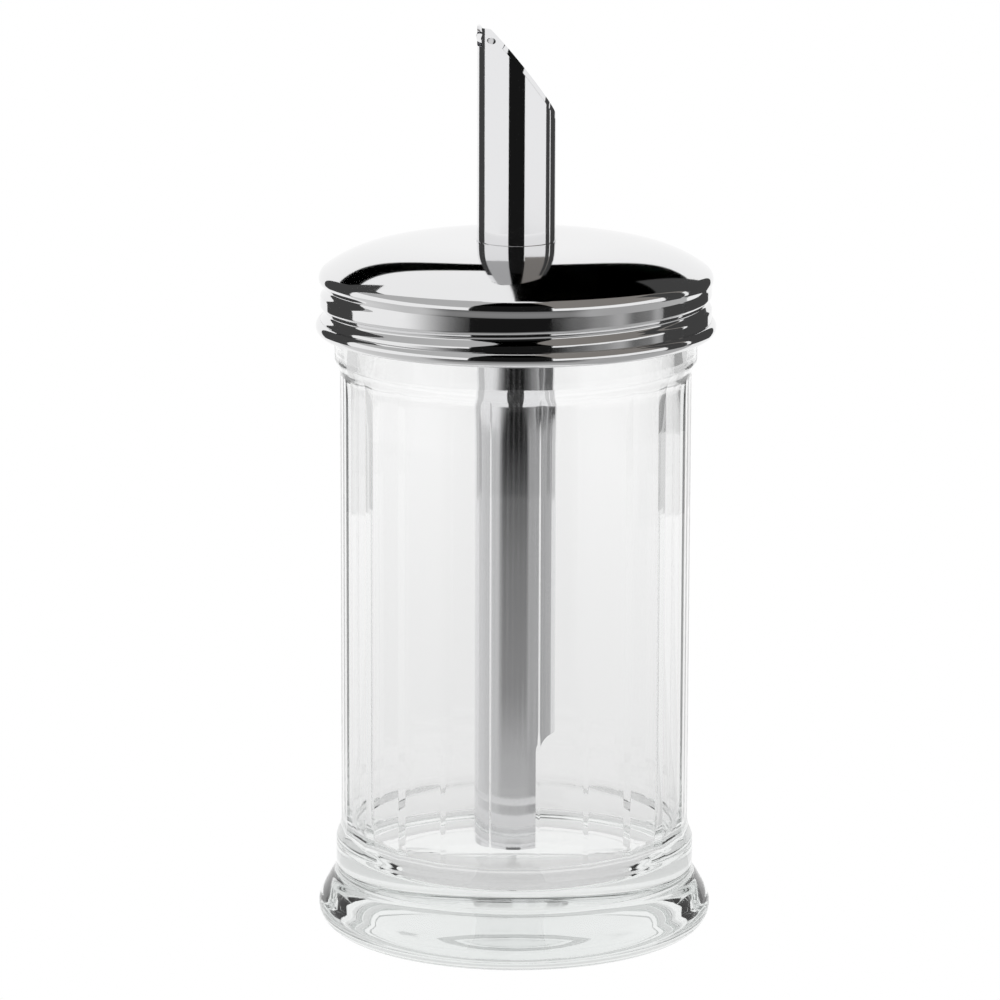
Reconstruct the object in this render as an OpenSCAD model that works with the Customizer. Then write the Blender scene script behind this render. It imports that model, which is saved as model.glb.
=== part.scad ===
// Sugar dispenser: a faceted glass jar, a screw lid with its thread rolled into the
// skirt, and a pouring tube whose slanted mouth is closed by a small hinged flap.
// Sizes in mm. The jar stands on z = 0 and +X is the side the mouth faces.

/* [Jar] */
// Widest radius of the foot
foot_radius = 38; // [34:0.5:42]
// Rounding of the foot's lower edge
foot_edge = 4.2; // [3:0.1:4.5]
// Height at which the foot runs into the lower band
foot_height = 11.2; // [10:0.1:12]
// How far the foot stands out beyond the plain bands
flare = 3.4; // [3:0.1:3.8]
// Wall of the bands and the neck
band_wall = 4.3; // [4:0.1:4.8]
// How far the ridges between the flats stand back from the bands
flat_step = 1.1; // [0.8:0.1:1.4]
// Number of flats round the body
flat_count = 22; // [20:1:24]
// Height of the lower ends of the flats
flats_bottom = 16.6; // [16:0.1:20]
// Length of the plain band between the flats and the lid
upper_band = 4.1; // [3.8:0.1:7]
// Radius of the cove at both ends of the flats
cove_radius = 4; // [3:0.1:5]
// Height of the inside floor
floor_height = 13; // [10:0.1:14]
// Rounding where the inside floor meets the wall
floor_corner = 9; // [6:0.1:12]
// Width of the ring the jar stands on
foot_ring = 4; // [3:0.1:5]
// Depth of the hollow under the foot
hollow_depth = 1.4; // [0.8:0.1:2]
// Rounding of the rim's edges
rim_edge = 0.9; // [0.5:0.1:1.2]

/* [Thread] */
// Rise of the thread in one turn
pitch = 4.6; // [4.4:0.1:4.8]
// Length of the glass thread, in sixths of a turn
glass_arcs = 7; // [6:1:7]
// Length of the lid's thread, in sixths of a turn
lid_arcs = 8; // [7:1:8]
// Height of the glass thread's ridge
glass_ridge_height = 1.6; // [1.4:0.1:1.7]
// Depth of the groove seen on the outside of the skirt
groove_depth = 0.85; // [0.6:0.05:0.9]
// Height of the lid's thread above the skirt's lower edge where it starts
thread_above_edge = 3.3; // [3.2:0.1:3.4]
// Direction from the axis in which the lid's thread starts
thread_start = -260; // [-280:5:-240]

/* [Lid] */
// Height of the lid's flat top
lid_top = 130; // [120:1:140]
// Height of the lid from the skirt's edge to its top
lid_height = 13.7; // [13.6:0.1:14]
// Thickness of the lid's sheet
sheet = 0.65; // [0.5:0.05:0.7]
// How far the shoulder under the top stands out of the skirt
shoulder_step = 0.3; // [0.2:0.05:0.5]
// Rounding of the shoulder
shoulder_round = 2.2; // [2:0.1:2.5]
// How far the bead along the lower edge stands out of the skirt
bead_step = 0.9; // [0.6:0.05:1]
// Cross-section radius of that bead
bead_round = 1.5; // [1.2:0.1:1.6]
// Thickness of the seal ring
seal_thickness = 1.4; // [1.2:0.1:1.6]

/* [Tube] */
// Height of the tip, which is the full height
tip_height = 175; // [160:1:190]
// Outer radius of the tube
tube_radius = 7.5; // [7:0.1:8.5]
// Wall of the tube
tube_wall = 0.6; // [0.5:0.05:0.7]
// Slope of the mouth in degrees from level
mouth_slope = 51.5; // [50:0.5:53]
// Height of the tip above the hinge pin
tip_above_pin = 2.17; // [2:0.05:2.3]
// Gap between the tube's lower end and the jar's floor
floor_gap = 3; // [2:0.1:4]
// Height of the inlet cut in the tube's lower end
inlet_height = 22.4; // [18:0.1:26]
// Distance of the inlet cut from the tube's axis
inlet_side = 2.4; // [1:0.1:3]
// Rounding of the inner corner of the inlet cut
inlet_corner = 3; // [2:0.1:4]
// Width of the collar that holds the tube under the lid
collar_width = 5; // [4:0.1:6]
// Thickness of the collar
collar_thickness = 1.2; // [1:0.1:1.5]

/* [Flap] */
// Thickness of the flap
flap_thickness = 0.8; // [0.6:0.05:0.9]
// How far the flap's edge stays inside the tube's outline
flap_inset = 0.05; // [0.02:0.01:0.2]
// Outer radius of the curl round the pin
curl_radius = 1.3; // [1.2:0.05:1.4]
// Half the width of the curl and its tongue
curl_half = 1.5; // [1.3:0.1:1.6]
// Radius of the hinge pin
pin_radius = 0.6; // [0.5:0.05:0.65]
// How far the pin's ends stand out of the tube
pin_stand = 0.08; // [0.05:0.01:0.3]
// How much wider the ears are than the curl, all round
ear_step = 0.7; // [0.6:0.05:0.8]

/* [Clearances] */
// Lid and collar round the tube
hole_clearance = 0.05; // [0.03:0.01:0.1]
// Skirt round the crest of the glass thread
skirt_clearance = 0.45; // [0.4:0.05:0.6]
// Crest of the lid's thread round the neck
neck_clearance = 0.9; // [0.8:0.05:1]
// Curl round the pin
pin_clearance = 0.06; // [0.04:0.01:0.1]
// Curl in its slot, at each side and at the back
slot_clearance = 0.15; // [0.1:0.01:0.2]
// Flap above the mouth
seat_clearance = 0.03; // [0.02:0.01:0.05]
// Flap round the ears
ear_clearance = 0.15; // [0.1:0.01:0.2]

/* [Hidden] */
$fn = 96;
past = 1;
band_radius = foot_radius - flare;
cavity_radius = band_radius - band_wall;
ridge_radius = band_radius - flat_step;
flat_radius = ridge_radius * cos(180 / flat_count);
foot_centre = foot_radius - foot_edge;
hollow_radius = foot_centre - foot_ring;
glass_crest = band_radius + glass_ridge_height;
lid_crest = band_radius + neck_clearance;
skirt_inner = glass_crest + skirt_clearance;
skirt_radius = skirt_inner + sheet;
shoulder_radius = skirt_radius + shoulder_step;
bead_radius = skirt_radius + bead_step;
lid_bottom = lid_top - lid_height;
lid_ceiling = lid_top - sheet;
rim_height = lid_ceiling - seal_thickness;
flats_top = lid_bottom - upper_band;
thread_bottom = lid_bottom + thread_above_edge;
seal_inner = cavity_radius + rim_edge / 3;
bore_radius = tube_radius - tube_wall;
tube_bottom = floor_height + floor_gap;
inlet_top = tube_bottom + inlet_height;
collar_radius = tube_radius + collar_width;
hinge_x = curl_radius - tube_radius;
hinge_z = tip_height - tip_above_pin;
slot_half = curl_half + slot_clearance;
ear_radius = curl_radius + ear_step;
pin_half = sqrt(pow(tube_radius, 2) - pow(hinge_x, 2)) + pin_stand;
thread_arc = 60;
arc_lap = 0.5;
arcs_ahead = 2;
glass_thread_bottom = thread_bottom + pitch / 2 - arcs_ahead * pitch * thread_arc / 360;
glass_thread_start = thread_start - arcs_ahead * thread_arc;
glass_ridge = [1.1, 0.45];
lid_ridge = [1.4, 0.6];
lid_groove = [1.5, 0.4];
root_depth = 0.35;
reach = 40;
glass_tint = [0.78, 0.90, 0.86, 0.45];
steel = [0.80, 0.81, 0.82];
seal_white = [0.93, 0.92, 0.88];

// A right-hand thread round the axis. Each arc is part of a ring that is tilted just
// enough to start where the arc before it ends, so the ridge climbs without a step.
module thread(root, crest, root_half, crest_half, bottom, arcs, start) {
    climb = pitch * thread_arc / 360;
    tilt = atan(climb / 2 / sin(thread_arc / 2) / root);
    for (i = [0:arcs - 1])
        translate([0, 0, bottom + (i + 0.5) * climb])
            rotate([0, 0, start + (i + 0.5) * thread_arc])
                rotate([tilt, 0, 0])
                    rotate([0, 0, -thread_arc / 2 - arc_lap])
                        rotate_extrude(angle = thread_arc + 2 * arc_lap)
                            polygon([
                                [root, -root_half],
                                [crest, -crest_half],
                                [crest, crest_half],
                                [root, root_half]
                            ]);
}

// Cross-section of a plain band whose edge runs into the flats through a cove.
module cove_section() {
    edge_in = flat_radius + cove_radius - band_radius;
    cove_height = sqrt(pow(cove_radius, 2) - pow(edge_in, 2));
    difference() {
        translate([cavity_radius - past, 0])
            square([band_radius - cavity_radius + past, cove_radius + cove_height]);
        translate([flat_radius + cove_radius, cove_radius + cove_height]) circle(cove_radius);
    }
}

// Cross-section of the foot, which flares out of the lower band to its rounded edge.
module foot_section() {
    rise = foot_height - foot_edge;
    over = band_radius - foot_centre;
    turn = atan2(rise, over) - acos(foot_edge / norm([rise, over]));
    translate([foot_centre, foot_edge]) circle(foot_edge);
    polygon([
        [0, 0],
        [foot_centre, 0],
        [foot_centre + foot_edge * cos(turn), foot_edge + foot_edge * sin(turn)],
        [band_radius, foot_height],
        [band_radius, flats_bottom],
        [0, flats_bottom]
    ]);
}

module jar_outside() {
    rotate_extrude() foot_section();
    translate([0, 0, flats_bottom - past]) linear_extrude(flats_top - flats_bottom + 2 * past) polygon([
        for (i = [0:flat_count - 1])
            [ridge_radius * cos(360 * i / flat_count), ridge_radius * sin(360 * i / flat_count)]
    ]);
    translate([0, 0, flats_bottom - cove_radius]) rotate_extrude() cove_section();
    translate([0, 0, flats_top + cove_radius]) mirror([0, 0, 1]) rotate_extrude() cove_section();
    neck_bottom = flats_top + past;
    translate([0, 0, neck_bottom]) cylinder(r = band_radius, h = rim_height - rim_edge - neck_bottom);
    rotate_extrude() translate([band_radius - rim_edge, rim_height - rim_edge]) circle(rim_edge);
    translate([0, 0, flats_top]) cylinder(r = band_radius - rim_edge, h = rim_height - flats_top);
}

module jar_inside() {
    rotate_extrude() {
        translate([0, floor_height]) square([cavity_radius - floor_corner, 2 * floor_corner]);
        translate([cavity_radius - floor_corner, floor_height + floor_corner]) intersection() {
            circle(floor_corner);
            translate([-floor_corner / 2, -floor_corner]) square([2 * floor_corner, 2 * floor_corner]);
        }
        translate([0, floor_height + floor_corner]) square([cavity_radius, rim_height - floor_height]);
    }
    cylinder(r1 = hollow_radius, r2 = hollow_radius - 2 * hollow_depth, h = hollow_depth);
}

module glass_jar() {
    color(glass_tint) union() {
        difference() {
            jar_outside();
            jar_inside();
        }
        thread(
            band_radius - root_depth, glass_crest, glass_ridge[0], glass_ridge[1],
            glass_thread_bottom, glass_arcs, glass_thread_start
        );
    }
}

module lid_liner() {
    color(seal_white) translate([0, 0, rim_height]) difference() {
        cylinder(r = skirt_inner - shoulder_round, h = seal_thickness);
        translate([0, 0, -past]) cylinder(r = seal_inner, h = seal_thickness + 2 * past);
    }
}

// The lid's outside, or its inside when drawn in by the sheet.
module lid_form(drawn_in) {
    side = shoulder_radius - shoulder_round;
    top = lid_top - shoulder_round;
    low = lid_bottom + bead_round - drawn_in;
    translate([0, 0, top]) rotate_extrude() translate([side, 0]) circle(shoulder_round - drawn_in);
    translate([0, 0, low]) cylinder(r = side, h = lid_top - drawn_in - low);
    translate([0, 0, low]) cylinder(r = skirt_radius - drawn_in, h = top - low);
}

module lid_blank() {
    bead_centre = [bead_radius - bead_round, lid_bottom + bead_round];
    difference() {
        union() {
            lid_form(0);
            rotate_extrude() translate(bead_centre) circle(bead_round);
        }
        lid_form(sheet);
        translate([0, 0, lid_bottom - past]) cylinder(r = skirt_inner, h = 2 * bead_round + past);
        cylinder(r = tube_radius + hole_clearance, h = lid_top + past);
    }
}

module lid_shell() {
    color(steel) difference() {
        union() {
            lid_blank();
            thread(
                skirt_radius - root_depth, lid_crest, lid_ridge[0], lid_ridge[1],
                thread_bottom, lid_arcs, thread_start
            );
        }
        thread(
            skirt_radius + root_depth, skirt_radius - groove_depth, lid_groove[0], lid_groove[1],
            thread_bottom, lid_arcs, thread_start
        );
    }
}

module at_hinge() {
    translate([hinge_x, 0, hinge_z]) rotate([0, mouth_slope, 0]) children();
}

module along_hinge(radius, half) {
    rotate([90, 0, 0]) translate([0, 0, -half]) cylinder(r = radius, h = 2 * half);
}

module inlet_cut() {
    low = tube_bottom - past;
    side = 2 * tube_radius;
    rotate([90, 0, 0]) translate([0, 0, -tube_radius - past]) linear_extrude(2 * (tube_radius + past)) {
        translate([inlet_side, low]) square([side, inlet_top - inlet_corner - low]);
        translate([inlet_side + inlet_corner, low]) square([side, inlet_top - low]);
        translate([inlet_side + inlet_corner, inlet_top - inlet_corner]) circle(inlet_corner);
    }
}

module spout_tube() {
    seat = curl_radius - flap_thickness - seat_clearance;
    color(steel) difference() {
        translate([0, 0, tube_bottom]) cylinder(r = tube_radius, h = tip_height - tube_bottom);
        translate([0, 0, tube_bottom - past]) cylinder(r = bore_radius, h = tip_height - tube_bottom + 2 * past);
        inlet_cut();
        at_hinge() difference() {
            translate([0, -reach / 2, seat]) cube([reach, reach, reach]);
            along_hinge(ear_radius, reach);
        }
        at_hinge() translate([-reach / 2, -reach / 2, curl_radius]) cube([reach, reach, reach]);
        translate([-reach, -slot_half, hinge_z - curl_radius - slot_clearance]) cube([reach, 2 * slot_half, reach]);
        translate([hinge_x, 0, hinge_z]) along_hinge(pin_radius, reach);
    }
}

module tube_collar() {
    color(steel) translate([0, 0, lid_ceiling - collar_thickness]) difference() {
        cylinder(r = collar_radius, h = collar_thickness);
        translate([0, 0, -past]) cylinder(r = tube_radius + hole_clearance, h = collar_thickness + 2 * past);
    }
}

module hinge_pin() {
    color(steel) translate([hinge_x, 0, hinge_z]) along_hinge(pin_radius, pin_half);
}

module flap() {
    relief = ear_radius + ear_clearance;
    color(steel) difference() {
        union() {
            intersection() {
                translate([0, 0, lid_top]) cylinder(r = tube_radius - flap_inset, h = tip_height);
                at_hinge() translate([0, -tube_radius, curl_radius - flap_thickness])
                    cube([reach, 2 * tube_radius, flap_thickness]);
            }
            translate([hinge_x, 0, hinge_z]) along_hinge(curl_radius, curl_half);
        }
        at_hinge() for (side = [-1, 1])
            translate([0, side * (curl_half + tube_radius), 0]) along_hinge(relief, tube_radius);
        translate([hinge_x, 0, hinge_z]) along_hinge(pin_radius + pin_clearance, reach);
    }
}

glass_jar();
lid_liner();
lid_shell();
spout_tube();
tube_collar();
hinge_pin();
flap();
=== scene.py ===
import math
import bmesh
import bpy
from mathutils import Matrix, Vector


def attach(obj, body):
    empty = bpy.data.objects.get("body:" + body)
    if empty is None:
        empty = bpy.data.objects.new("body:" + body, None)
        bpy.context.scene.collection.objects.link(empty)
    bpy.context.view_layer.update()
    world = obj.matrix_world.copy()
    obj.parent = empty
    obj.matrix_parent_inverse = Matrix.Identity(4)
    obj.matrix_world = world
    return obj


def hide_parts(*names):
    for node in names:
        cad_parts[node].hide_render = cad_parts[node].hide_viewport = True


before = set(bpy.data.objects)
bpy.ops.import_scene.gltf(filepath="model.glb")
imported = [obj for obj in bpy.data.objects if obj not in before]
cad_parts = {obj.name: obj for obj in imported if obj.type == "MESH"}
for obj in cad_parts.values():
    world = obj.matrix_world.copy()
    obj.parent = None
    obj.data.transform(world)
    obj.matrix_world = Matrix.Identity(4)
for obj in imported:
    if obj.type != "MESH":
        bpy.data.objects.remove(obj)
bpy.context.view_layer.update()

mm = 0.001
near = 0.01  # mm, for telling one radius or height from the next
white = (1, 1, 1, 1)
viewSide = math.radians(-16.36)  # where the photo was taken from, round the jar


def makeMesh(name, bm):
    bmesh.ops.recalc_face_normals(bm, faces=bm.faces)
    mesh = bpy.data.meshes.new(name)
    bm.to_mesh(mesh)
    bm.free()
    for polygon in mesh.polygons:
        polygon.use_smooth = True
    obj = bpy.data.objects.new(name, mesh)
    bpy.context.scene.collection.objects.link(obj)
    return obj


def lathe(profile, steps):
    bm = bmesh.new()
    verts = [bm.verts.new((r * mm, 0, z * mm)) for r, z in profile]
    edges = [bm.edges.new(pair) for pair in zip(verts, verts[1:])]
    bmesh.ops.spin(
        bm, geom=verts + edges, cent=(0, 0, 0), axis=(0, 0, 1),
        angle=2 * math.pi, steps=steps, use_merge=True, use_duplicate=False,
    )
    bmesh.ops.remove_doubles(bm, verts=bm.verts, dist=1e-6)
    return bm


def arc(cx, cz, radius, start, end, count):
    turns = [math.radians(start + (end - start) * i / count) for i in range(count + 1)]
    return [(cx + radius * math.cos(turn), cz + radius * math.sin(turn)) for turn in turns]


def line(a, b, count):  # the points between a and b
    return [(a[0] + (b[0] - a[0]) * i / count, a[1] + (b[1] - a[1]) * i / count) for i in range(1, count)]


def wall(radius, low, high, rows):  # an upright stretch with both its ends
    return [(radius, low + (high - low) * i / rows) for i in range(rows + 1)]


def threadHeight(s, angle, z, half):  # 1 on the thread's crest, 0 beside it
    best = 0.0
    turn = (angle - s["threadStart"]) % 360
    while turn <= s["threadSpan"]:
        off = abs(z - s["threadLow"] - s["pitch"] * turn / 360) / half
        if off < 1:
            fade = max(0, min(1, turn / s["threadFade"], (s["threadSpan"] - turn) / s["threadFade"]))
            best = max(best, 0.5 * (1 + math.cos(math.pi * off)) * fade)
        turn += 360
    return best


def setRadius(v, angle, radius):
    v.co.x = radius * mm * math.cos(angle)
    v.co.y = radius * mm * math.sin(angle)


jarSet = {
    "flats": 22, "perFlat": 16, "ridge": 33.5, "belly": 0.1,  # the flats bulge a little
    "low": 16.6, "high": 112.2, "coveRise": 5.5, "soft": 0.5,  # where the flats end, and how softly
    "band": 34.6, "foot": 38.0, "footEdge": 4.2, "footTop": 11.2, "footRows": 14,
    "hollow": 30.5, "hollowDeep": 1.4, "lip": 0.15, "crease": (0.12, 0.25),
    "inner": 30.3, "floor": 13.0, "corner": 9.0, "cornerRows": 14, "follow": 0.75,
    "rim": 127.95, "rimEdge": 0.9, "rimRows": 6,
    "coveRows": 22, "flatRows": 20, "neckRows": 44, "innerRows": 24, "floorRows": 6, "shortRows": 4,
    "neckLow": 117.0, "pitch": 4.6, "threadLow": 120.37, "threadStart": -380.0, "threadSpan": 420.0,
    "threadFade": 25.0, "threadDeep": 1.6, "threadHalf": 1.15,
}


def jarProfile(s):
    band, low, high, inner = s["band"], s["low"], s["high"], s["inner"]
    neckTop = s["rim"] - s["rimEdge"]
    profile = [(0, s["hollowDeep"]), (s["hollow"] - 2 * s["hollowDeep"], s["hollowDeep"])]
    profile += [(s["hollow"] - s["lip"], 0.4 * s["lip"]), (s["hollow"] + s["lip"], 0)]
    profile += arc(s["foot"] - s["footEdge"], s["footEdge"], s["footEdge"], -90, 30, s["footRows"])
    profile += line(profile[-1], (band, s["footTop"]), s["shortRows"])
    profile += [(band + s["crease"][0], s["footTop"] - s["crease"][1]), (band, s["footTop"] + s["lip"])]
    profile += line((band, s["footTop"]), (band, low), s["shortRows"])
    profile += [(band, low - s["lip"])]
    profile += wall(band, low, low + s["coveRise"], s["coveRows"])
    profile += line((band, low + s["coveRise"]), (band, high - s["coveRise"]), s["flatRows"])
    profile += wall(band, high - s["coveRise"], high, s["coveRows"])
    profile += [(band, high + s["lip"])]
    profile += line((band, high), (band, s["neckLow"]), s["shortRows"])
    profile += wall(band, s["neckLow"], neckTop, s["neckRows"])
    profile += arc(band - s["rimEdge"], neckTop, s["rimEdge"], 0, 90, s["rimRows"])[1:]
    profile += arc(inner + s["rimEdge"], neckTop, s["rimEdge"], 90, 180, s["rimRows"])
    profile += line((inner, neckTop), (inner, s["floor"] + s["corner"]), s["innerRows"])
    profile += arc(inner - s["corner"], s["floor"] + s["corner"], s["corner"], 0, -90, s["cornerRows"])
    profile += line((inner - s["corner"], s["floor"]), (0, s["floor"]), s["floorRows"])
    return profile + [(0, s["floor"])]


def flatRadius(s, half, off, z):  # a flat, and the cove that it runs out in
    apothem = s["ridge"] * math.cos(half)
    flat = apothem / math.cos(off) + s["belly"] * (1 - (off / half) ** 2)
    up = min(1, max(0, min(z - s["low"], s["high"] - z) / s["coveRise"]))
    cove = s["band"] - (s["band"] - apothem + s["soft"]) * 0.5 * (1 - math.cos(math.pi * up))
    return min(s["band"], 0.5 * (flat + cove + math.hypot(flat - cove, s["soft"])))


def insideSwell(s, half, off, z):  # the wall inside faintly follows the flats
    reach = min(1, (z - s["floor"]) / s["corner"], (s["high"] - z) / s["corner"])
    bulge = s["belly"] / s["inner"] * (1 / 3 - (off / half) ** 2)
    swell = (1 - half ** 2 / 6) / math.cos(off) - 1 + bulge
    return 1 + s["follow"] * reach ** 2 * (3 - 2 * reach) * swell


def jarPiece(s):
    bm = lathe(jarProfile(s), s["flats"] * s["perFlat"])
    half = math.pi / s["flats"]
    for v in bm.verts:
        r, z = math.hypot(v.co.x, v.co.y) / mm, v.co.z / mm
        around = math.atan2(v.co.y, v.co.x)
        even = around % (2 * half) - half
        off = half * math.sin(0.5 * math.pi * even / half)  # columns close up at the ridges
        angle = around - even + off
        if r > s["band"] - near and s["low"] - near < z < s["high"] + near:
            r = flatRadius(s, half, off, z)
        elif r > s["band"] - near and z > s["neckLow"]:
            r += s["threadDeep"] * threadHeight(s, math.degrees(angle), z, s["threadHalf"])
        elif s["inner"] - s["corner"] < r < s["inner"] + near and s["floor"] - near < z < s["high"]:
            r *= insideSwell(s, half, off, z)
        setRadius(v, angle, r)
    return makeMesh("jarGlass", bm)


lidSet = {
    "steps": 288, "low": 116.3, "sheet": 0.65, "skirt": 37.3, "shoulder": 37.6, "round": 2.2,
    "taper": ((0.18, 0.55), (0.04, 1.0)), "taperEnd": 1.3,  # from the shoulder in to the skirt
    "bead": 38.2, "beadRound": 1.5, "beadRise": 1.15, "plain": 1.2, "hole": 7.55,
    "top": 134.07, "fall": 4.89, "fallAt": 36.0, "fallPower": 4.92,  # the low dome
    "crownRows": 40, "thinning": 4, "roundRows": 14, "innerRoundRows": 10, "skirtRows": 46, "beadRows": 18,
    "pitch": 4.6, "threadLow": 119.6, "threadStart": -260.0, "threadSpan": 480.0, "threadFade": 25.0,
    "grooveDeep": 0.85, "grooveHalf": 1.45, "ridgeDeep": 1.1, "ridgeHalf": 1.5,
}


def lidPiece(s):
    side = s["shoulder"] - s["round"]
    crownAt = lambda r: s["top"] - s["fall"] * (r / s["fallAt"]) ** s["fallPower"]
    slopeAt = lambda r: s["fall"] * s["fallPower"] / s["fallAt"] * (r / s["fallAt"]) ** (s["fallPower"] - 1)
    edge = side
    for attempt in range(40):  # where the dome meets the rounding of its edge
        edge = 0.5 * edge + 0.5 * (side + s["round"] * math.sin(math.atan(slopeAt(edge))))
    lean = math.degrees(math.atan(slopeAt(edge)))
    crown = crownAt(edge) - s["round"] * math.cos(math.radians(lean))
    beadZ = s["low"] + s["beadRound"]
    innerR = s["skirt"] - s["sheet"]
    skirtTop, skirtLow = crown - s["taperEnd"], beadZ + s["beadRise"]
    rings = [s["hole"] + (edge - s["hole"]) * i / s["crownRows"] for i in range(s["crownRows"])]
    profile = [(r, crownAt(r)) for r in rings]
    profile += arc(side, crown, s["round"], 90 - lean, 0, s["roundRows"])
    profile += [(s["skirt"] + out, crown - down) for out, down in s["taper"]]
    profile += wall(s["skirt"], skirtTop, skirtLow, s["skirtRows"])
    profile += arc(s["bead"] - s["beadRound"], beadZ, s["beadRound"], 62, -95, s["beadRows"])
    profile += wall(innerR, skirtLow, skirtTop, s["skirtRows"])
    profile += arc(side, crown, s["round"] - s["sheet"], 0, 90 - lean, s["innerRoundRows"])
    profile += [(r, crownAt(r) - s["sheet"]) for r in reversed(rings[::s["thinning"]])]
    bm = lathe(profile + profile[:1], s["steps"])
    for v in bm.verts:
        r, z = math.hypot(v.co.x, v.co.y) / mm, v.co.z / mm
        if z > crown or z < s["low"] + s["plain"] or r < innerR - near:
            continue
        angle = math.atan2(v.co.y, v.co.x)
        outside = r > s["skirt"] - near  # the groove outside is the ridge inside
        half = s["grooveHalf"] if outside else s["ridgeHalf"]
        deep = s["grooveDeep"] if outside else s["ridgeDeep"]
        setRadius(v, angle, r - deep * threadHeight(s, math.degrees(angle), z, half))
    return makeMesh("lidPressing", bm)


def maths(tree, operation, *terms):
    node = tree.nodes.new("ShaderNodeMath")
    node.operation = operation
    for socket, term in zip(node.inputs, terms):
        if isinstance(term, bpy.types.NodeSocket):
            tree.links.new(term, socket)
        else:
            socket.default_value = term
    return node.outputs[0]


def between(tree, source, start, end, low, high):
    node = tree.nodes.new("ShaderNodeMapRange")
    for label, value in {"From Min": start, "From Max": end, "To Min": low, "To Max": high}.items():
        node.inputs[label].default_value = value
    tree.links.new(source, node.inputs["Value"])
    return node.outputs["Result"]


def lengthOf(tree, source):
    node = tree.nodes.new("ShaderNodeVectorMath")
    node.operation = "LENGTH"
    tree.links.new(source, node.inputs[0])
    return node.outputs["Value"]


def wearGroup():  # faint unevenness of a polish
    group = bpy.data.node_groups.new("fineWear", "ShaderNodeTree")
    for label, value in {"Scale": 60.0, "Spread": 0.02, "Base": 0.05}.items():
        socket = group.interface.new_socket(name=label, in_out="INPUT", socket_type="NodeSocketFloat")
        socket.default_value = value
    group.interface.new_socket(name="Value", in_out="OUTPUT", socket_type="NodeSocketFloat")
    source = group.nodes.new("NodeGroupInput")
    sink = group.nodes.new("NodeGroupOutput")
    coords = group.nodes.new("ShaderNodeTexCoord")
    noise = group.nodes.new("ShaderNodeTexNoise")
    noise.inputs["Detail"].default_value = 3
    noise.inputs["Roughness"].default_value = 0.55
    group.links.new(coords.outputs["Object"], noise.inputs["Vector"])
    group.links.new(source.outputs["Scale"], noise.inputs["Scale"])
    amount, base = source.outputs["Spread"], source.outputs["Base"]
    group.links.new(maths(group, "MULTIPLY_ADD", noise.outputs["Fac"], amount, base), sink.inputs["Value"])
    return group


def principled(name, colour, rough):
    material = bpy.data.materials.new(name)
    material.use_nodes = True
    shader = material.node_tree.nodes["Principled BSDF"]
    shader.inputs["Base Color"].default_value = colour
    shader.inputs["Roughness"].default_value = rough
    return material, shader


polishSet = {"colour": (0.80, 0.80, 0.805, 1), "rough": 0.045, "spread": 0.02, "scale": 90}
tubeSet = {"colour": (0.80, 0.80, 0.81, 1), "rough": 0.05, "spread": 0.02, "scale": 90}
wireSet = {"colour": (0.72, 0.72, 0.73, 1), "rough": 0.18, "spread": 0.05, "scale": 90}
glassSet = {"ior": 1.5, "tint": (0.70, 0.735, 0.72, 1), "density": 9.0}
sealSet = {"colour": (0.86, 0.85, 0.80, 1), "rough": 0.55}


def steelMaterial(name, s, wear):
    material, shader = principled(name, s["colour"], s["rough"])
    shader.inputs["Metallic"].default_value = 1
    group = material.node_tree.nodes.new("ShaderNodeGroup")
    group.node_tree = wear
    group.inputs["Scale"].default_value = s["scale"]
    group.inputs["Spread"].default_value = s["spread"]
    group.inputs["Base"].default_value = s["rough"]
    material.node_tree.links.new(group.outputs["Value"], shader.inputs["Roughness"])
    return material


def glassMaterial(name, s):
    material, shader = principled(name, white, 0)
    shader.inputs["IOR"].default_value = s["ior"]
    shader.inputs["Transmission Weight"].default_value = 1
    tree = material.node_tree
    absorb = tree.nodes.new("ShaderNodeVolumeAbsorption")
    absorb.inputs["Color"].default_value = s["tint"]
    absorb.inputs["Density"].default_value = s["density"]
    tree.links.new(absorb.outputs["Volume"], tree.nodes["Material Output"].inputs["Volume"])
    return material


wear = wearGroup()
lidSteel = steelMaterial("polishedLid", polishSet, wear)
tubeSteel = steelMaterial("polishedTube", tubeSet, wear)
wireSteel = steelMaterial("hingeWire", wireSet, wear)
glass = glassMaterial("clearGlass", glassSet)
sealWhite = principled("sealRing", sealSet["colour"], sealSet["rough"])[0]
print("materials ready")

jar = jarPiece(jarSet)
jar.data.materials.append(glass)
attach(jar, "jar")
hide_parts("glass_jar")
print("jar ready", len(jar.data.polygons))

lid = lidPiece(lidSet)
lid.data.materials.append(lidSteel)
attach(lid, "lid")
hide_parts("lid_shell")
print("lid ready", len(lid.data.polygons))

nodeFinish = {
    "spout_tube": tubeSteel, "tube_collar": tubeSteel, "flap": tubeSteel,
    "hinge_pin": wireSteel, "lid_liner": sealWhite,
}
for nodeName, finish in nodeFinish.items():
    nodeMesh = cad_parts[nodeName].data
    nodeMesh.materials.clear()
    nodeMesh.materials.append(finish)
print("kept nodes ready")


def glow(name, colour, strength):
    material = bpy.data.materials.new(name)
    material.use_nodes = True
    tree = material.node_tree
    tree.nodes.clear()
    output = tree.nodes.new("ShaderNodeOutputMaterial")
    emission = tree.nodes.new("ShaderNodeEmission")
    emission.inputs["Color"].default_value = colour
    emission.inputs["Strength"].default_value = strength
    tree.links.new(emission.outputs[0], output.inputs["Surface"])
    return material


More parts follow.
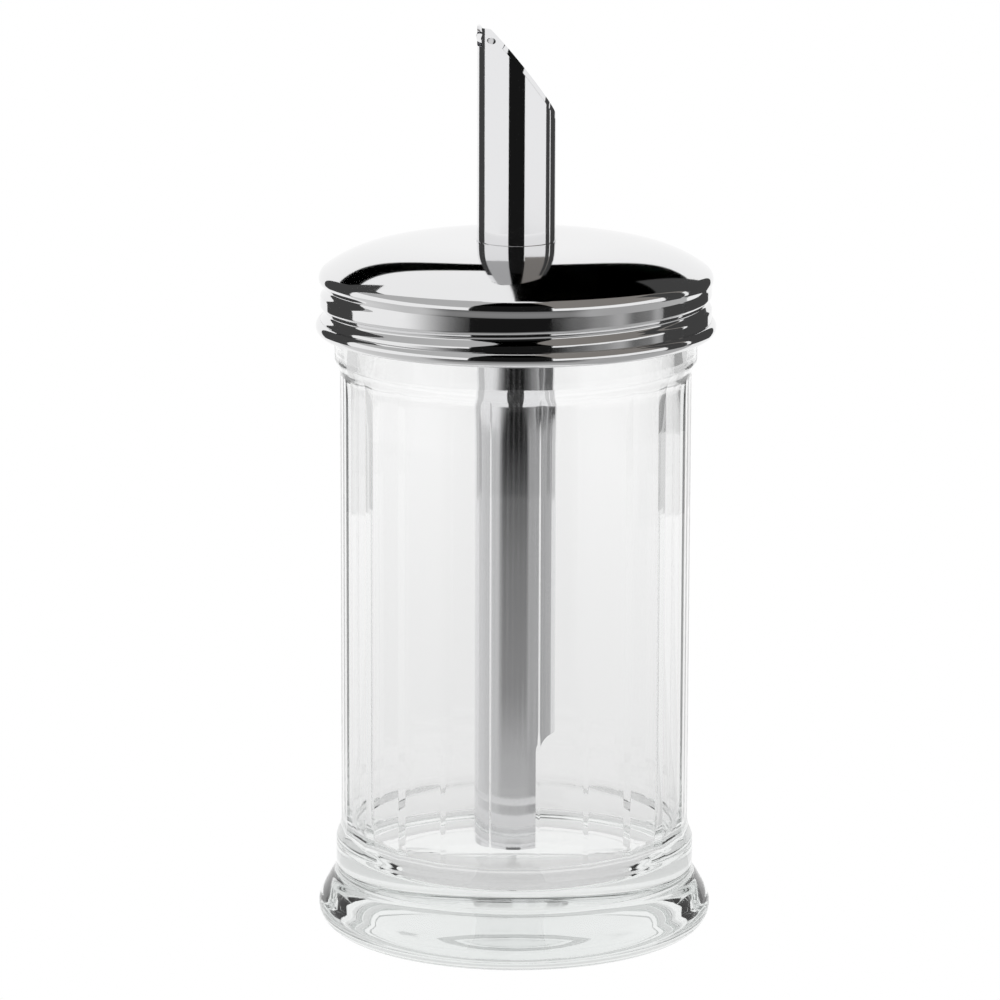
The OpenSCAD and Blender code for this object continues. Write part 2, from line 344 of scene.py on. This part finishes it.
def veil(material, behind, glassy):  # a flag shows fully in bare metal, and by these shares
    tree = material.node_tree  # in the metal behind the glass and in the glass itself
    path = tree.nodes.new("ShaderNodeLightPath")
    sharp = path.outputs["Is Singular Ray"]  # only the glass mirrors without any blur
    depth = path.outputs["Transmission Depth"]
    blurred = maths(tree, "SUBTRACT", 1, sharp)
    mirrored = maths(tree, "GREATER_THAN", path.outputs["Glossy Depth"], 0.5)
    outside = maths(tree, "MULTIPLY", blurred, maths(tree, "LESS_THAN", depth, 0.5))
    inside = maths(tree, "MULTIPLY", maths(tree, "GREATER_THAN", depth, 3.5), behind)
    skin = maths(tree, "MULTIPLY", maths(tree, "LESS_THAN", depth, 3.5), maths(tree, "MULTIPLY", sharp, glassy))
    shown = maths(tree, "MULTIPLY", maths(tree, "ADD", maths(tree, "ADD", outside, inside), skin), mirrored)
    clear = tree.nodes.new("ShaderNodeBsdfTransparent")
    mix = tree.nodes.new("ShaderNodeMixShader")
    tree.links.new(shown, mix.inputs["Fac"])
    tree.links.new(clear.outputs[0], mix.inputs[1])
    tree.links.new(tree.nodes["Emission"].outputs[0], mix.inputs[2])
    tree.links.new(mix.outputs[0], tree.nodes["Material Output"].inputs["Surface"])
    return material


def ramp(tree, stops, source):
    node = tree.nodes.new("ShaderNodeValToRGB")
    node.color_ramp.interpolation = "EASE"
    elements = node.color_ramp.elements
    while len(elements) < len(stops):
        elements.new(0.5)
    for element, (place, value) in zip(elements, stops):
        element.position = place
        element.color = (value, value, value, 1)
    tree.links.new(source, node.inputs["Fac"])
    return node.outputs["Color"]


def apronPaint(name, s):  # tones by the angle from the photo's side and by the distance from the jar
    # the tones are painted floor light and shade, for the metal and glass to mirror
    material = glow(name, white, 1)
    tree = material.node_tree
    coords = tree.nodes.new("ShaderNodeTexCoord")
    turn = tree.nodes.new("ShaderNodeVectorRotate")
    turn.rotation_type = "Z_AXIS"
    turn.inputs["Angle"].default_value = -viewSide
    split = tree.nodes.new("ShaderNodeSeparateXYZ")
    tree.links.new(coords.outputs["Object"], turn.inputs["Vector"])
    tree.links.new(turn.outputs["Vector"], split.inputs[0])
    angle = maths(tree, "ARCTAN2", split.outputs["X"], maths(tree, "MULTIPLY", split.outputs["Y"], -1))
    share = maths(tree, "MULTIPLY_ADD", angle, 0.5 / math.pi, 0.5)
    away = maths(tree, "DIVIDE", lengthOf(tree, coords.outputs["Object"]), s["reach"])
    byAngle = lambda stops: [(0.5 + place / 360, value) for place, value in stops]
    mix = tree.nodes.new("ShaderNodeMixRGB")
    tree.links.new(ramp(tree, byAngle(s["frontShare"]), share), mix.inputs["Fac"])
    tree.links.new(ramp(tree, byAngle(s["sides"]), share), mix.inputs[1])
    tree.links.new(ramp(tree, [(r / s["reach"], value) for r, value in s["front"]], away), mix.inputs[2])
    tree.links.new(mix.outputs[0], tree.nodes["Emission"].inputs["Color"])
    return veil(material, 1, 0.6)


def card(name, start, end, profile, material):  # start and end in degrees from the photo's side
    bm = bmesh.new()
    turn = viewSide + math.radians(start)
    verts = [bm.verts.new((r * math.sin(turn), -r * math.cos(turn), z)) for r, z in profile]
    edges = [bm.edges.new(pair) for pair in zip(verts, verts[1:])]
    bmesh.ops.spin(
        bm, geom=verts + edges, cent=(0, 0, 0), axis=(0, 0, 1), angle=math.radians(end - start),
        steps=max(2, round(abs(end - start) / 3)), use_duplicate=False,
    )
    obj = makeMesh(name, bm)
    obj.data.materials.append(material)
    obj.visible_camera = False
    obj.visible_shadow = False
    obj.visible_diffuse = False


def upright(radius):
    return [(radius, 0.0), (radius, cardSet["high"])]


def canopy(radius, low, high, rows):
    return arc(0, cardSet["canopyCentre"], radius, low, high, rows)


def flat(start, end):
    return [(start, cardSet["apronHeight"]), (end, cardSet["apronHeight"])]


cardSet = {"high": 0.52, "canopyCentre": 0.13, "apronHeight": 0.002}  # metres
# painted floor light and shade for the two aprons
nearSet = {
    "reach": 0.5,
    "sides": [(-180, 0.9), (-120, 0.75), (-60, 0.62), (0, 0.5), (60, 0.42), (120, 0.5), (180, 0.9)],
    "front": [(0.08, 0.5), (0.12, 0.46), (0.2, 0.24), (0.3, 0.2), (0.39, 0.13), (0.45, 0.05), (0.5, 0.012)],
    "frontShare": [(-58, 0), (-36, 1), (30, 1), (46, 0)],
}
farSet = {
    "reach": 0.8,
    "sides": [
        (-110, 1), (-75, 1), (0, 0.05), (22, 0.03), (35, 0.14), (50, 0.28), (62, 0.42), (72, 0.15),
        (82, 0.2), (89, 0.4), (100, 0.12), (118, 0.05), (150, 0.1),
    ],
    "front": [(0.5, 0.012), (0.8, 0.012)],
    "frontShare": [(-68, 0), (-18, 1), (16, 1), (24, 0)],
}

black = veil(glow("flagBlack", white, 0), 0, 0)
front = veil(glow("flagFront", white, 0.01), 1, 0.9)
dark = veil(glow("flagDark", white, 0.06), 0.3, 0.3)
grey = veil(glow("flagGrey", white, 0.5), 0, 0)
brown = veil(glow("flagBrown", (1, 0.94, 0.88, 1), 0.24), 0, 0)
card("cardFront", -26, 20, upright(0.46), front)
card("cardLeft", -142, -107, upright(0.40), dark)
card("cardRight", 92, 110, upright(0.40), dark)
card("cardRightEdge", 114, 150, upright(0.40), dark)
card("canopyRight", 70, 182, canopy(1.6, 25.5, 84, 16), black)
card("canopyLeft", 182, 230, canopy(1.6, 25.5, 36, 4), black)
card("canopyFront", -26, 22, canopy(1.5, 20, 80, 12), black)
card("canopyFrontLeft", -110, -26, canopy(1.5, 20, 80, 12), grey)
card("canopyFrontRight", 22, 120, canopy(1.5, 15, 80, 12), brown)
card("apronNear", -120, 120, flat(0.055, 0.5), apronPaint("apronNear", nearSet))
card("apronFar", -100, 140, flat(0.5, 0.79), apronPaint("apronFar", farSet))

floorSet = {
    "radius": 4, "segments": 64, "colour": (0.9, 0.9, 0.9, 1), "rough": 0.9,
    "shade": 0.25, "near": 0.05, "far": 0.46, "paintedShadow": 0.2,  # seen through glass: some real shade, and a painted shadow darker near the jar
}


def floorMaterial(s):
    material, shader = principled("floorPaint", s["colour"], s["rough"])
    tree = material.node_tree
    path = tree.nodes.new("ShaderNodeLightPath")
    spot = tree.nodes.new("ShaderNodeNewGeometry")
    emission = tree.nodes.new("ShaderNodeEmission")
    mix = tree.nodes.new("ShaderNodeMixShader")
    through = path.outputs["Is Transmission Ray"]
    # rays through the glass see the floor with a painted shadow, darker near the jar
    fall = between(tree, lengthOf(tree, spot.outputs["Position"]), s["near"], s["far"], s["paintedShadow"], 0)
    power = maths(tree, "SUBTRACT", 1, maths(tree, "MULTIPLY", fall, through))
    seen = maths(tree, "MAXIMUM", path.outputs["Is Camera Ray"], path.outputs["Is Glossy Ray"])
    tree.links.new(power, emission.inputs["Strength"])
    tree.links.new(maths(tree, "MULTIPLY_ADD", through, -s["shade"], seen), mix.inputs["Fac"])
    tree.links.new(shader.outputs[0], mix.inputs[1])
    tree.links.new(emission.outputs[0], mix.inputs[2])
    tree.links.new(mix.outputs[0], tree.nodes["Material Output"].inputs["Surface"])
    return material


floorMesh = bmesh.new()
bmesh.ops.create_circle(floorMesh, cap_ends=True, segments=floorSet["segments"], radius=floorSet["radius"])
floor = makeMesh("floor", floorMesh)
floor.data.materials.append(floorMaterial(floorSet))

scene = bpy.context.scene
world = bpy.data.worlds.new("studio")
world.use_nodes = True
world.node_tree.nodes["Background"].inputs["Color"].default_value = white
world.node_tree.nodes["Background"].inputs["Strength"].default_value = 1
scene.world = world
scene.view_settings.view_transform = "Standard"
scene.cycles.max_bounces = 32  # light that runs round in the thick foot ends black otherwise
scene.cycles.glossy_bounces = 16
scene.cycles.transmission_bounces = 24

cameraSet = {"away": 1.013, "height": 0.3006, "lens": 194.2, "down": 12.092, "turn": 0.1675, "roll": 0.152}
camera = bpy.data.cameras.new("camera")
camera.lens = cameraSet["lens"]
camera.sensor_width = 36
camera.clip_start = 0.05
cameraObject = bpy.data.objects.new("camera", camera)
scene.collection.objects.link(cameraObject)
away = Vector((math.sin(viewSide), -math.cos(viewSide), 0))
cameraObject.location = away * cameraSet["away"] + Vector((0, 0, cameraSet["height"]))
down = math.radians(cameraSet["down"])
ahead = Matrix.Rotation(math.radians(cameraSet["turn"]), 3, "Z") @ -away
aim = (ahead * math.cos(down) - Vector((0, 0, math.sin(down)))).to_track_quat("-Z", "Y")
roll = Matrix.Rotation(math.radians(cameraSet["roll"]), 3, "Z")
cameraObject.rotation_euler = (aim.to_matrix() @ roll).to_euler()
scene.camera = cameraObject
print("studio ready")
